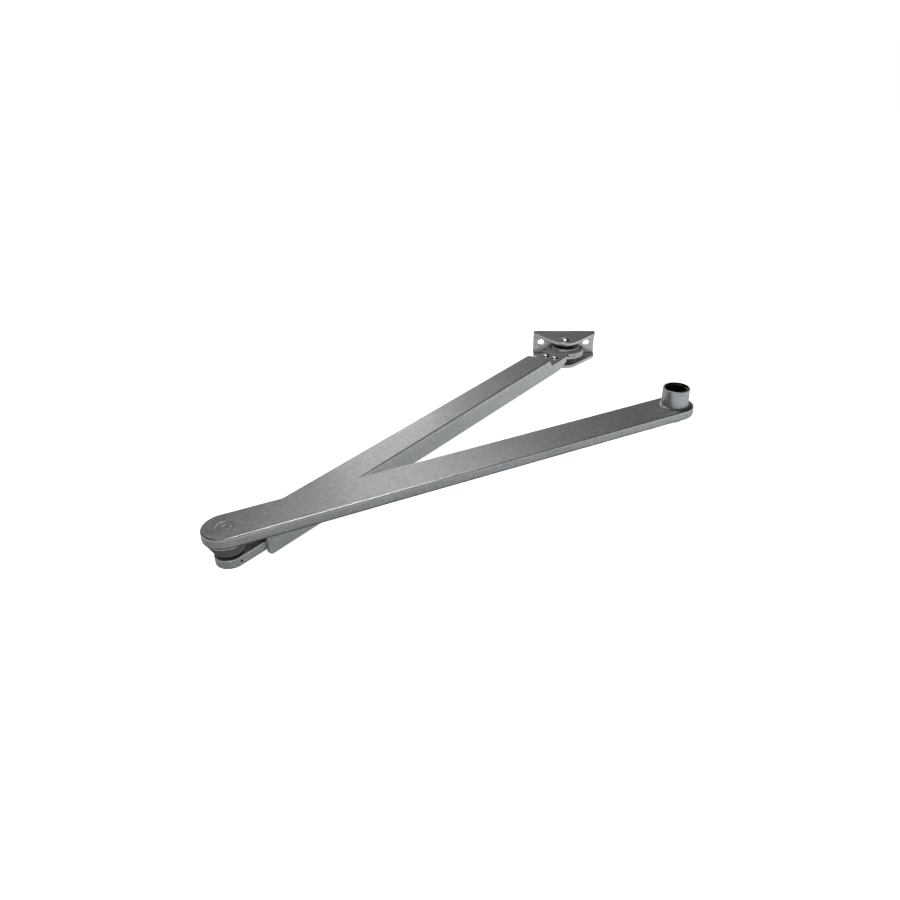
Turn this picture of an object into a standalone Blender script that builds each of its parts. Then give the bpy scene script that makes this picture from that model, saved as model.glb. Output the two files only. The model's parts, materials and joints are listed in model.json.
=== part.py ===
"""Double lever arm of a door closer, with its shoe: a flat main arm with a spindle hub, a
forearm whose length adjusts, and a bent plate shoe that screws to the door frame.

Frame, in metres: the spindle axis is Z through the origin, z = 0 is the hub's rim, and the
shoe's back plate lies in an XZ plane and faces +Y. The arm lies level, hub boss up.
Heights in the stack are counted down from the hub's rim.
"""

import math

import bmesh
import bpy

# Where the two lengths of the arm point, and how far it is between their pivots
MAIN_ARM_HEADING = math.radians(30.4)
FOREARM_HEADING = math.radians(56.5)
ARM_LENGTH = 0.3010
FOREARM_LENGTH = 0.3572

# Clearances between solids: faces that rest on each other, and shafts in their holes
REST_GAP = 0.0002
HOLE_GAP = 0.0003
RUNNING_GAP = 0.0001

# Main arm: a 1 in by 1/4 in bar, round at both ends, with a hub boss on top
ARM_WIDTH = 0.0254
ARM_THICKNESS = 0.00635
ARM_EDGE = 0.0009
HUB_HEIGHT = 0.0122
HUB_RADIUS = 0.00885
HUB_BORE = 0.0077
HUB_FILLET = 0.0014
HUB_FLOOR = 0.0045
HUB_RIM = 0.0004
ARM_TOP = -HUB_HEIGHT
ARM_BOTTOM = ARM_TOP - ARM_THICKNESS

# Serrated sleeve pressed into the hub
SOCKET_RADIUS = HUB_BORE - REST_GAP
SOCKET_ROOT = 0.0068
SOCKET_CREST = 0.0062
SOCKET_TEETH = 24
SOCKET_RECESS = 0.0006

# Screw that pulls the arm onto the spindle, from below
ARM_SCREW_RADIUS = 0.0030
ARM_SCREW_TIP = -0.0092
ARM_SCREW_FLATS = 0.0110
ARM_SCREW_HEAD = 0.0040
ARM_SCREW_WASHER = 0.0058
ARM_SCREW_WASHER_THICKNESS = 0.0012
SCREW_CHAMFER = 0.0006

# Elbow: a stud riveted into the main arm, on which the forearm's eye turns
STUD_RADIUS = 0.0032
STUD_HEAD_RADIUS = 0.0044
STUD_HEAD_SINK = 0.0016
STUD_HEAD_RISE = 0.0003
STUD_HEAD_EDGE = 0.0005
STUD_DIMPLE = 0.0015
STUD_DIMPLE_DEPTH = 0.0005
STUD_DIMPLE_SLOPE = 0.0006
STUD_TAIL_RADIUS = 0.0045
STUD_TAIL = 0.0009
STUD_TAIL_EDGE = 0.0004
SPACER_TOP_RADIUS = 0.0116
SPACER_RIM = 0.0005
SPACER_RADIUS = 0.0084
SPACER_EDGE = 0.0004
SPACER_TOP = ARM_BOTTOM - REST_GAP
SPACER_BOTTOM = -0.0265
ELBOW_WASHER_RADIUS = 0.0066
TAIL_WASHER_RADIUS = 0.0058
TAIL_WASHER_THICKNESS = 0.0008

# Slide bar: the elbow half of the forearm, with a slot for the clamp screws
SLIDE_TOP = -0.0285
SLIDE_THICKNESS = 0.0059
SLIDE_BOTTOM = SLIDE_TOP - SLIDE_THICKNESS
SLIDE_HALF_WIDTH = 0.0084
SLIDE_END = 0.225
SLIDE_EDGE = 0.0006
SLOT_START = 0.116
SLOT_STOP = 0.214
SLOT_HALF_WIDTH = 0.0030
ELBOW_BUSH_RADIUS = 0.0048
OIL_HOLE_PLACE = 0.0007
OIL_HOLE_RADIUS = 0.0008
OIL_HOLE_DEPTH = 0.0024

# Channel: the shoe half of the forearm, sheet bent to an upside-down U, cranked down to its eye
SHEET = 0.0022
CHANNEL_HALF_WIDTH = 0.01075
CHANNEL_TOP = -0.0230
CHANNEL_HEIGHT = 0.0140
CHANNEL_BOTTOM = CHANNEL_TOP - CHANNEL_HEIGHT
CHANNEL_START = 0.0170
CHANNEL_CORNER = 0.0025
CHANNEL_BEND = 0.0012
CRANK_START = 0.3133
CRANK_STOP = 0.3168
EYE_TOP = -0.0283
EYE_BOTTOM = EYE_TOP - SHEET
EYE_RADIUS = 0.0152
WALL_SLOPE_START = 0.329
WALL_END = 0.341
WALL_END_BOTTOM = -0.0330
EYE_ROOT = 0.0060
DOUBLER_THICKNESS = 0.0024
DOUBLER_START = 0.323
DOUBLER_HALF_WIDTH = CHANNEL_HALF_WIDTH - SHEET - HOLE_GAP
RIVET_PLACE = 0.3323
RIVET_SPACING = 0.0085
RIVET_RADIUS = 0.0016
RIVET_HEAD_RADIUS = 0.0030
RIVET_HEAD = 0.0013

# Clamp screws under the forearm, and the plate inside it that they thread into
CLAMP_PLACES = (0.130, 0.156)
CLAMP_RADIUS = 0.0025
CLAMP_FLATS = 0.0080
CLAMP_HEAD = 0.0026
CLAMP_WASHER_RADIUS = 0.0055
CLAMP_WASHER_THICKNESS = 0.0010
NUT_PLATE_TOP = CHANNEL_TOP - SHEET - REST_GAP
NUT_PLATE_BOTTOM = SLIDE_TOP + REST_GAP
NUT_PLATE_MARGIN = 0.0115

# Shoe: one plate bent to a C, with a pointed ear at top and bottom
SHOE_WIDTH = 0.0538
SHOE_TOP = -0.0209
SHOE_BOTTOM = -0.0439
SHOE_BACK = 0.0256
SHOE_PLATE = 0.0028
SHOE_BEND = 0.0038
SHOE_EAR_START = 0.0168
SHOE_NOSE = 0.0118
SHOE_NOSE_PLACE = 0.0034
SHOE_HOLE_SPACING = 0.0400
SHOE_HOLE_RADIUS = 0.0030
SHOE_HOLE_HEIGHT = -0.0320

# Shoe pin and what is threaded on it, from the top ear down
PIN_RADIUS = 0.0030
PIN_HEAD_RADIUS = 0.0041
PIN_HEAD = 0.0017
THRUST_RING_RADIUS = 0.0068
THRUST_RING_THICKNESS = 0.0019
FLANGE_RADIUS = 0.0112
FLANGE_TOP = -0.0262
FLANGE_THICKNESS = 0.0010
FLANGE_EDGE = 0.0003
PIN_WASHER_RADIUS = 0.0118
PIN_BUSH_RADIUS = 0.0045
LOWER_SPACER_RADIUS = 0.0095
LOWER_SPACER_EDGE = 0.0006

# Helpers run past the faces that they cut, and a circle has this many sides
OVERSHOOT = 0.002
ROUND = 32
SMALL_ROUND = 24
RIVET_ROUND = 16


def clear_scene():
    for obj in list(bpy.data.objects):
        bpy.data.objects.remove(obj, do_unlink=True)


def material(name, colour, roughness, metallic):
    """A Principled material of one colour."""
    made = bpy.data.materials.new(name)
    made.use_nodes = True
    shader = made.node_tree.nodes["Principled BSDF"]
    shader.inputs["Base Color"].default_value = (*colour, 1.0)
    shader.inputs["Roughness"].default_value = roughness
    shader.inputs["Metallic"].default_value = metallic
    made.diffuse_color = (*colour, 1.0)
    return made


def axis_empty(name, x, y, heading):
    """An empty on a pivot's vertical axis, its X along the length that it carries."""
    empty = bpy.data.objects.new(name, None)
    empty.location = (x, y, 0.0)
    empty.rotation_euler = (0.0, 0.0, heading)
    empty.empty_display_size = 0.02
    bpy.context.collection.objects.link(empty)
    return empty


def arc(x, y, radius, start, stop, steps):
    """Points on an arc, angles in degrees, both ends included."""
    points = []
    for i in range(steps + 1):
        angle = math.radians(start + (stop - start) * i / steps)
        points.append((x + radius * math.cos(angle), y + radius * math.sin(angle)))
    return points


def circle(x, y, radius, count=ROUND):
    return arc(x, y, radius, 0, 360, count)[:-1]


def at_height(outline, z):
    return [(x, y, z) for x, y in outline]


def loft(loops, closed=False):
    """A bmesh skin through loops of equal length: capped at both ends, or closed on itself."""
    bm = bmesh.new()
    rings = [[bm.verts.new(point) for point in loop] for loop in loops]
    count = len(loops[0])
    pairs = list(zip(rings, rings[1:]))
    if closed:
        pairs.append((rings[-1], rings[0]))
    for low, high in pairs:
        for i in range(count):
            j = (i + 1) % count
            bm.faces.new((low[i], low[j], high[j], high[i]))
    if not closed:
        bm.faces.new(reversed(rings[0]))
        bm.faces.new(rings[-1])
    bmesh.ops.recalc_face_normals(bm, faces=bm.faces)
    return bm


def solid(name, bm, made_of, parent):
    """An object from a bmesh, smooth where it is round, on its pivot's empty."""
    mesh = bpy.data.meshes.new(name)
    bm.to_mesh(mesh)
    bm.free()
    mesh.materials.append(made_of)
    mesh.shade_smooth()
    mesh.set_sharp_from_angle(angle=math.radians(32))
    obj = bpy.data.objects.new(name, mesh)
    obj.parent = parent
    bpy.context.collection.objects.link(obj)
    return obj


def turned(x, y, profile, count=ROUND):
    """A solid of revolution about a vertical axis, from (radius, z) pairs, bottom to top."""
    return loft([at_height(circle(x, y, radius, count), z) for radius, z in profile])


def turned_ring(x, y, profile, count=ROUND):
    """A ring about a vertical axis, from a closed outline of (radius, z) pairs."""
    return loft([at_height(circle(x, y, radius, count), z) for radius, z in profile], closed=True)


def washer(x, y, bore, radius, bottom, top, edge=REST_GAP):
    """A flat ring with its outer edges broken."""
    outline = [
        (bore, bottom),
        (radius - edge, bottom),
        (radius, bottom + edge),
        (radius, top - edge),
        (radius - edge, top),
        (bore, top),
    ]
    return turned_ring(x, y, outline)


def change(obj, other, operation):
    """A Boolean of obj with a helper, which stays out of the render."""
    other.hide_render = True
    other.display_type = "WIRE"
    modifier = obj.modifiers.new(other.name, "BOOLEAN")
    modifier.operation = operation
    modifier.solver = "EXACT"
    modifier.object = other


def drill(obj, name, x, y, radius, low, high, count=ROUND):
    """A vertical hole through obj between two heights."""
    bm = turned(x, y, [(radius, low), (radius, high)], count)
    change(obj, solid(name, bm, obj.data.materials[0], obj.parent), "DIFFERENCE")


def stadium(start, stop, half_width, inset=0.0, steps=12):
    """Outline of a bar round at both ends, whose end centres lie at start and stop on X."""
    radius = half_width - inset
    return arc(stop, 0, radius, -90, 90, steps) + arc(start, 0, radius, 90, 270, steps)


def round_edges(low, high, edge):
    """(height, inset) pairs of a plate whose rims are rounded by edge."""
    slant = edge * (1 - math.sqrt(0.5))
    return [
        (low, edge),
        (low + slant, slant),
        (low + edge, 0.0),
        (high - edge, 0.0),
        (high - slant, slant),
        (high, edge),
    ]


def hexagon(x, y, flats, count=SMALL_ROUND):
    """A hexagon's outline with points spread along its sides, to loft onto a circle."""
    points = []
    for i in range(count):
        angle = 2 * math.pi * i / count
        reach = flats / 2 / math.cos((angle + math.pi / 6) % (math.pi / 3) - math.pi / 6)
        points.append((x + reach * math.cos(angle), y + reach * math.sin(angle)))
    return points


def hex_screw(x, y, radius, flats, tip, seat, head):
    """A screw that points up: its head hangs below seat, and its end is chamfered."""
    loops = [
        at_height(circle(x, y, flats / 2 - SCREW_CHAMFER, SMALL_ROUND), seat - head),
        at_height(hexagon(x, y, flats), seat - head + SCREW_CHAMFER),
        at_height(hexagon(x, y, flats), seat),
        at_height(circle(x, y, radius, SMALL_ROUND), seat),
        at_height(circle(x, y, radius, SMALL_ROUND), tip - SCREW_CHAMFER),
        at_height(circle(x, y, radius - SCREW_CHAMFER, SMALL_ROUND), tip),
    ]
    return loft(loops)


def dome(radius, low, rise, steps=4):
    """(radius, z) pairs of a low domed head, from its rim to its flat crown."""
    pairs = []
    for i in range(steps):
        angle = math.pi / 2 * i / steps
        pairs.append((radius * math.cos(angle), low + rise * math.sin(angle)))
    return pairs


def two_headed(head_radius, head, shank_radius, low, high):
    """(radius, z) pairs of a rivet with a domed head over high and the same one under low."""
    upper = dome(head_radius, 0.0, head)
    tail = [(radius, low - z) for radius, z in reversed(upper)]
    crown = [(radius, high + z) for radius, z in upper]
    return tail + [(shank_radius, low), (shank_radius, high)] + crown


def make_main_arm(paint, hub_axis):
    loops = []
    for z, inset in round_edges(ARM_BOTTOM, ARM_TOP, ARM_EDGE):
        loops.append(at_height(stadium(-ARM_LENGTH, 0.0, ARM_WIDTH / 2, inset), z))
    arm = solid("main_arm", loft(loops), paint, hub_axis)
    change(arm, solid("hub_boss", hub_boss(), paint, hub_axis), "UNION")
    drill(arm, "hub_bore", 0, 0, HUB_BORE, ARM_BOTTOM + HUB_FLOOR, OVERSHOOT)
    below = ARM_BOTTOM - OVERSHOOT
    drill(arm, "arm_screw_hole", 0, 0, ARM_SCREW_RADIUS + HOLE_GAP, below, ARM_TOP, SMALL_ROUND)
    stud_hole = [
        (STUD_RADIUS + HOLE_GAP, below),
        (STUD_RADIUS + HOLE_GAP, ARM_TOP - STUD_HEAD_SINK - REST_GAP),
        (STUD_HEAD_RADIUS + REST_GAP, ARM_TOP - STUD_HEAD_SINK - REST_GAP),
        (STUD_HEAD_RADIUS + REST_GAP, ARM_TOP + OVERSHOOT),
    ]
    cutter = solid("stud_hole", turned(-ARM_LENGTH, 0, stud_hole), paint, hub_axis)
    change(arm, cutter, "DIFFERENCE")


def hub_boss():
    """The hub's outside: a fillet off the arm's top, a plain wall and a broken rim."""
    steps = 3
    profile = [(HUB_RADIUS + HUB_FILLET, ARM_TOP - ARM_EDGE)]
    for i in range(steps + 1):
        angle = math.pi / 2 * i / steps
        radius = HUB_RADIUS + HUB_FILLET * (1 - math.sin(angle))
        profile.append((radius, ARM_TOP + HUB_FILLET * (1 - math.cos(angle))))
    profile.append((HUB_RADIUS, -HUB_RIM))
    profile.append((HUB_RADIUS - HUB_RIM, 0.0))
    return turned(0, 0, profile, 40)


def make_spindle_socket(zinc, hub_axis):
    top = -SOCKET_RECESS
    bottom = ARM_BOTTOM + HUB_FLOOR + REST_GAP
    count = 2 * SOCKET_TEETH
    outer = circle(0, 0, SOCKET_RADIUS, count)
    inner = []
    for i in range(count):
        radius = SOCKET_CREST if i % 2 else SOCKET_ROOT
        angle = 2 * math.pi * i / count
        inner.append((radius * math.cos(angle), radius * math.sin(angle)))
    loops = [at_height(inner, bottom), at_height(outer, bottom)]
    loops += [at_height(outer, top), at_height(inner, top)]
    solid("spindle_socket", loft(loops, closed=True), zinc, hub_axis)


def make_arm_screw(steel, hub_axis):
    under = ARM_BOTTOM - REST_GAP
    washer_bottom = under - ARM_SCREW_WASHER_THICKNESS
    bore = ARM_SCREW_RADIUS + HOLE_GAP
    ring = washer(0, 0, bore, ARM_SCREW_WASHER, washer_bottom, under)
    solid("arm_screw_washer", ring, steel, hub_axis)
    seat = washer_bottom - REST_GAP
    screw = hex_screw(
        0, 0, ARM_SCREW_RADIUS, ARM_SCREW_FLATS, ARM_SCREW_TIP, seat, ARM_SCREW_HEAD
    )
    solid("arm_screw", screw, steel, hub_axis)


def make_elbow_stud(paint, hub_axis):
    """The stud has a shallow ring head with a dimple in the arm's top, and a peened tail."""
    crown = ARM_TOP + STUD_HEAD_RISE
    head_seat = ARM_TOP - STUD_HEAD_SINK
    tail_top = SLIDE_BOTTOM - TAIL_WASHER_THICKNESS - 3 * REST_GAP
    profile = [
        (STUD_TAIL_RADIUS - STUD_TAIL_EDGE, tail_top - STUD_TAIL),
        (STUD_TAIL_RADIUS, tail_top - STUD_TAIL + STUD_TAIL_EDGE),
        (STUD_TAIL_RADIUS, tail_top),
        (STUD_RADIUS, tail_top),
        (STUD_RADIUS, head_seat),
        (STUD_HEAD_RADIUS, head_seat),
        (STUD_HEAD_RADIUS, ARM_TOP),
        (STUD_HEAD_RADIUS - STUD_HEAD_EDGE, crown),
        (STUD_DIMPLE + STUD_DIMPLE_SLOPE, crown),
        (STUD_DIMPLE, crown - STUD_DIMPLE_DEPTH),
        (STUD_DIMPLE / 3, crown - STUD_DIMPLE_DEPTH),
    ]
    solid("elbow_stud", turned(-ARM_LENGTH, 0, profile), paint, hub_axis)


def make_elbow_stack(paint, dark, steel, hub_axis):
    """The rings on the stud: a conical spacer, a thin washer over the eye, and one under it."""
    bore = STUD_RADIUS + HOLE_GAP
    x = -ARM_LENGTH
    cone = [
        (bore, SPACER_BOTTOM),
        (SPACER_RADIUS - SPACER_EDGE, SPACER_BOTTOM),
        (SPACER_RADIUS, SPACER_BOTTOM + SPACER_EDGE),
        (SPACER_TOP_RADIUS, SPACER_TOP - SPACER_RIM),
        (SPACER_TOP_RADIUS, SPACER_TOP),
        (bore, SPACER_TOP),
    ]
    solid("elbow_spacer", turned_ring(x, 0, cone), paint, hub_axis)
    low = SLIDE_TOP + REST_GAP
    high = SPACER_BOTTOM - REST_GAP
    ring = washer(x, 0, bore, ELBOW_WASHER_RADIUS, low, high)
    solid("elbow_thrust_washer", ring, dark, hub_axis)
    high = SLIDE_BOTTOM - 2 * REST_GAP
    low = high - TAIL_WASHER_THICKNESS
    ring = washer(x, 0, bore, TAIL_WASHER_RADIUS, low, high)
    solid("elbow_tail_washer", ring, steel, hub_axis)


def make_slide(paint, elbow_axis):
    """A flat bar with a round eye on the stud, a square far end and a long slot."""
    loops = []
    for z, inset in round_edges(SLIDE_BOTTOM, SLIDE_TOP, SLIDE_EDGE):
        outline = arc(0, 0, SLIDE_HALF_WIDTH - inset, 90, 270, 16)
        outline.append((SLIDE_END - inset, inset - SLIDE_HALF_WIDTH))
        outline.append((SLIDE_END - inset, SLIDE_HALF_WIDTH - inset))
        loops.append(at_height(outline, z))
    slide = solid("forearm_slide", loft(loops), paint, elbow_axis)
    low = SLIDE_BOTTOM - OVERSHOOT
    high = SLIDE_TOP + OVERSHOOT
    slot = stadium(SLOT_START, SLOT_STOP, SLOT_HALF_WIDTH, steps=8)
    cutter = loft([at_height(slot, low), at_height(slot, high)])
    change(slide, solid("slide_slot", cutter, paint, elbow_axis), "DIFFERENCE")
    drill(slide, "bush_hole", 0, 0, ELBOW_BUSH_RADIUS + REST_GAP, low, high)
    change(slide, solid("oil_hole", oil_hole(), paint, elbow_axis), "DIFFERENCE")


def oil_hole():
    """A small blind hole in the eye's front side, level, at mid thickness."""
    z = (SLIDE_TOP + SLIDE_BOTTOM) / 2
    side = circle(OIL_HOLE_PLACE, z, OIL_HOLE_RADIUS, 12)
    ends = (-SLIDE_HALF_WIDTH - OVERSHOOT, OIL_HOLE_DEPTH - SLIDE_HALF_WIDTH)
    return loft([[(x, y, level) for x, level in side] for y in ends])


def make_elbow_bushing(bronze, elbow_axis):
    bore = STUD_RADIUS + RUNNING_GAP
    ring = washer(0, 0, bore, ELBOW_BUSH_RADIUS, SLIDE_BOTTOM, SLIDE_TOP)
    solid("elbow_bushing", ring, bronze, elbow_axis)


def channel_side(lowered):
    """The channel seen from the side, as (x, z): its top is lowered towards the bends."""
    corner_x = CHANNEL_START + CHANNEL_CORNER
    corner_z = CHANNEL_BOTTOM + CHANNEL_CORNER
    outline = [
        (CHANNEL_START, CHANNEL_TOP - lowered),
        (CRANK_START, CHANNEL_TOP - lowered),
        (CRANK_STOP, EYE_TOP - lowered),
        (WALL_END, EYE_TOP - lowered),
        (WALL_END, WALL_END_BOTTOM),
        (WALL_SLOPE_START, CHANNEL_BOTTOM),
    ]
    outline += arc(corner_x, corner_z, CHANNEL_CORNER, 270, 180, 5)
    return outline


def make_channel(paint, elbow_axis):
    slant = CHANNEL_BEND * (1 - math.sqrt(0.5))
    stations = [(0.0, CHANNEL_BEND), (slant, slant), (CHANNEL_BEND, 0.0)]
    loops = []
    for inset, lowered in stations:
        y = inset - CHANNEL_HALF_WIDTH
        loops.append([(x, y, z) for x, z in channel_side(lowered)])
    for inset, lowered in reversed(stations):
        y = CHANNEL_HALF_WIDTH - inset
        loops.append([(x, y, z) for x, z in channel_side(lowered)])
    channel = solid("forearm_channel", loft(loops), paint, elbow_axis)
    change(channel, solid("channel_inside", channel_inside(), paint, elbow_axis), "DIFFERENCE")
    change(channel, solid("channel_eye", eye_plate(), paint, elbow_axis), "UNION")
    low = EYE_BOTTOM - OVERSHOOT
    high = EYE_TOP + OVERSHOOT
    drill(channel, "eye_hole", FOREARM_LENGTH, 0, PIN_BUSH_RADIUS + REST_GAP, low, high)
    for side in (-1, 1):
        y = side * RIVET_SPACING / 2
        name = "channel_rivet_hole_%d" % side
        drill(channel, name, RIVET_PLACE, y, RIVET_RADIUS + REST_GAP, low, high, RIVET_ROUND)


def channel_inside():
    """What is empty under the sheet: it follows the top down through the crank."""
    below = CHANNEL_BOTTOM - OVERSHOOT
    start = CHANNEL_START - OVERSHOOT
    stop = WALL_END + OVERSHOOT
    outline = [
        (start, CHANNEL_TOP - SHEET),
        (CRANK_START - SHEET / 2, CHANNEL_TOP - SHEET),
        (CRANK_STOP - SHEET / 2, EYE_BOTTOM),
        (stop, EYE_BOTTOM),
        (stop, below),
        (start, below),
    ]
    half = CHANNEL_HALF_WIDTH - SHEET
    return loft([[(x, y, z) for x, z in outline] for y in (-half, half)])


def eye_outline(start, neck, shoulder, width):
    """A neck from start to shoulder, then a wider neck that runs into the round eye."""
    angle = math.degrees(math.asin(width / EYE_RADIUS))
    outline = arc(FOREARM_LENGTH, 0, EYE_RADIUS, angle - 180, 180 - angle, 30)
    outline += [(shoulder, width), (shoulder, neck), (start, neck)]
    outline += [(start, -neck), (shoulder, -neck), (shoulder, -width)]
    return outline


def eye_plate():
    """The sheet past the walls' end, rooted under the channel's top."""
    neck = CHANNEL_HALF_WIDTH - 1.5 * CHANNEL_BEND
    outline = eye_outline(WALL_END - EYE_ROOT, neck, WALL_END - REST_GAP, CHANNEL_HALF_WIDTH)
    return loft([at_height(outline, EYE_BOTTOM), at_height(outline, EYE_TOP)])


def make_doubler(paint, elbow_axis):
    """The second layer of the eye: it lies between the walls, under the sheet."""
    top = EYE_BOTTOM - REST_GAP
    bottom = top - DOUBLER_THICKNESS
    half = DOUBLER_HALF_WIDTH
    angle = math.degrees(math.asin(half / EYE_RADIUS))
    outline = arc(FOREARM_LENGTH, 0, EYE_RADIUS, angle - 180, 180 - angle, 30)
    outline += [(DOUBLER_START, half), (DOUBLER_START, -half)]
    bm = loft([at_height(outline, bottom), at_height(outline, top)])
    doubler = solid("eye_doubler", bm, paint, elbow_axis)
    low = bottom - OVERSHOOT
    high = top + OVERSHOOT
    drill(doubler, "doubler_hole", FOREARM_LENGTH, 0, PIN_BUSH_RADIUS + REST_GAP, low, high)
    for side in (-1, 1):
        y = side * RIVET_SPACING / 2
        name = "doubler_rivet_hole_%d" % side
        drill(doubler, name, RIVET_PLACE, y, RIVET_RADIUS + REST_GAP, low, high, RIVET_ROUND)


def make_rivets(paint, elbow_axis):
    high = EYE_TOP + REST_GAP
    low = EYE_BOTTOM - DOUBLER_THICKNESS - 2 * REST_GAP
    profile = two_headed(RIVET_HEAD_RADIUS, RIVET_HEAD, RIVET_RADIUS, low, high)
    for number, side in enumerate((1, -1), start=1):
        bm = turned(RIVET_PLACE, side * RIVET_SPACING / 2, profile, 20)
        solid("eye_rivet_%d" % number, bm, paint, elbow_axis)


def make_clamp(steel, zinc, elbow_axis):
    """The nut plate over the slide bar, and the screws that pull the bar up against it."""
    start = CLAMP_PLACES[0] - NUT_PLATE_MARGIN
    stop = CLAMP_PLACES[-1] + NUT_PLATE_MARGIN
    half = DOUBLER_HALF_WIDTH
    outline = [(start, -half), (stop, -half), (stop, half), (start, half)]
    bm = loft([at_height(outline, NUT_PLATE_BOTTOM), at_height(outline, NUT_PLATE_TOP)])
    plate = solid("nut_plate", bm, zinc, elbow_axis)
    washer_top = SLIDE_BOTTOM - REST_GAP
    washer_bottom = washer_top - CLAMP_WASHER_THICKNESS
    seat = washer_bottom - REST_GAP
    bore = CLAMP_RADIUS + HOLE_GAP
    low = NUT_PLATE_BOTTOM - OVERSHOOT
    high = NUT_PLATE_TOP + OVERSHOOT
    for number, x in enumerate(CLAMP_PLACES, start=1):
        drill(plate, "nut_plate_hole_%d" % number, x, 0, bore, low, high, SMALL_ROUND)
        ring = washer(x, 0, bore, CLAMP_WASHER_RADIUS, washer_bottom, washer_top)
        solid("clamp_washer_%d" % number, ring, steel, elbow_axis)
        screw = hex_screw(
            x, 0, CLAMP_RADIUS, CLAMP_FLATS, NUT_PLATE_TOP - REST_GAP, seat, CLAMP_HEAD
        )
        solid("clamp_screw_%d" % number, screw, steel, elbow_axis)


def shoe_profile():
    """The shoe's C seen from the side, as (y, z) on the pin's axis: outside, then inside."""
    centre_y = SHOE_BACK - SHOE_BEND
    top_z = SHOE_TOP - SHOE_BEND
    bottom_z = SHOE_BOTTOM + SHOE_BEND
    front = SHOE_NOSE_PLACE - SHOE_NOSE - OVERSHOOT
    inner = SHOE_BEND - SHOE_PLATE
    outline = [(front, SHOE_BOTTOM)]
    outline += arc(centre_y, bottom_z, SHOE_BEND, -90, 0, 6)
    outline += arc(centre_y, top_z, SHOE_BEND, 0, 90, 6)
    outline += [(front, SHOE_TOP), (front, SHOE_TOP - SHOE_PLATE)]
    outline += arc(centre_y, top_z, inner, 90, 0, 4)
    outline += arc(centre_y, bottom_z, inner, 0, -90, 4)
    outline.append((front, SHOE_BOTTOM + SHOE_PLATE))
    return outline


def shoe_plan():
    """The shoe from above: full width at the plate, then straight ear edges to a round nose."""
    half = SHOE_WIDTH / 2
    depth = SHOE_EAR_START - SHOE_NOSE_PLACE
    bearing = math.degrees(math.atan2(depth, half))
    tangent = bearing - math.degrees(math.acos(SHOE_NOSE / math.hypot(half, depth)))
    behind = SHOE_BACK + OVERSHOOT
    outline = [(half, SHOE_EAR_START), (half, behind), (-half, behind), (-half, SHOE_EAR_START)]
    outline += arc(0, SHOE_NOSE_PLACE, SHOE_NOSE, 180 - tangent, 360 + tangent, 16)
    return outline


def make_shoe_bracket(paint, shoe_axis):
    half = SHOE_WIDTH / 2 + OVERSHOOT
    low = SHOE_BOTTOM - OVERSHOOT
    high = SHOE_TOP + OVERSHOOT
    bm = loft([[(x, y, z) for y, z in shoe_profile()] for x in (-half, half)])
    bracket = solid("shoe_bracket", bm, paint, shoe_axis)
    plan = loft([at_height(shoe_plan(), low), at_height(shoe_plan(), high)])
    change(bracket, solid("shoe_plan", plan, paint, shoe_axis), "INTERSECT")
    drill(bracket, "pin_holes", 0, 0, PIN_RADIUS + HOLE_GAP, low, high)
    for side in (-1, 1):
        x = side * SHOE_HOLE_SPACING / 2
        hole = circle(x, SHOE_HOLE_HEIGHT, SHOE_HOLE_RADIUS, SMALL_ROUND)
        ends = (SHOE_BACK - SHOE_PLATE - OVERSHOOT, SHOE_BACK + OVERSHOOT)
        bm = loft([[(px, y, pz) for px, pz in hole] for y in ends])
        change(bracket, solid("screw_hole_%d" % side, bm, paint, shoe_axis), "DIFFERENCE")


def make_shoe_pin(paint, shoe_axis):
    low = SHOE_BOTTOM - REST_GAP
    high = SHOE_TOP + REST_GAP
    profile = two_headed(PIN_HEAD_RADIUS, PIN_HEAD, PIN_RADIUS, low, high)
    solid("shoe_pin", turned(0, 0, profile), paint, shoe_axis)


def make_pin_stack(paint, dark, plated, elbow_axis, shoe_axis):
    """What is threaded on the pin: two rings of the shoe, and the forearm's own bush and washer."""
    bore = PIN_RADIUS + HOLE_GAP
    ring_top = SHOE_TOP - SHOE_PLATE - REST_GAP
    ring_bottom = ring_top - THRUST_RING_THICKNESS
    ring = washer(0, 0, bore, THRUST_RING_RADIUS, ring_bottom, ring_top)
    solid("shoe_thrust_ring", ring, dark, shoe_axis)
    high = EYE_BOTTOM - DOUBLER_THICKNESS - 3 * REST_GAP
    low = SHOE_BOTTOM + SHOE_PLATE + REST_GAP
    ring = washer(0, 0, bore, LOWER_SPACER_RADIUS, low, high, LOWER_SPACER_EDGE)
    solid("shoe_lower_spacer", ring, dark, shoe_axis)
    make_shoe_bushing(plated, elbow_axis)
    flange_bottom = FLANGE_TOP - FLANGE_THICKNESS
    bore = PIN_BUSH_RADIUS + REST_GAP
    low = EYE_TOP + REST_GAP
    high = flange_bottom - REST_GAP
    ring = washer(FOREARM_LENGTH, 0, bore, PIN_WASHER_RADIUS, low, high)
    solid("shoe_washer", ring, paint, elbow_axis)


def make_shoe_bushing(plated, elbow_axis):
    """A flanged bush through both layers of the eye."""
    bore = PIN_RADIUS + RUNNING_GAP
    foot = EYE_BOTTOM - REST_GAP - DOUBLER_THICKNESS
    under = FLANGE_TOP - FLANGE_THICKNESS
    outline = [
        (bore, foot),
        (PIN_BUSH_RADIUS, foot),
        (PIN_BUSH_RADIUS, under),
        (FLANGE_RADIUS - FLANGE_EDGE, under),
        (FLANGE_RADIUS, under + FLANGE_EDGE),
        (FLANGE_RADIUS, FLANGE_TOP - FLANGE_EDGE),
        (FLANGE_RADIUS - FLANGE_EDGE, FLANGE_TOP),
        (bore, FLANGE_TOP),
    ]
    bush = turned_ring(FOREARM_LENGTH, 0, outline)
    solid("shoe_bushing", bush, plated, elbow_axis)


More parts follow.
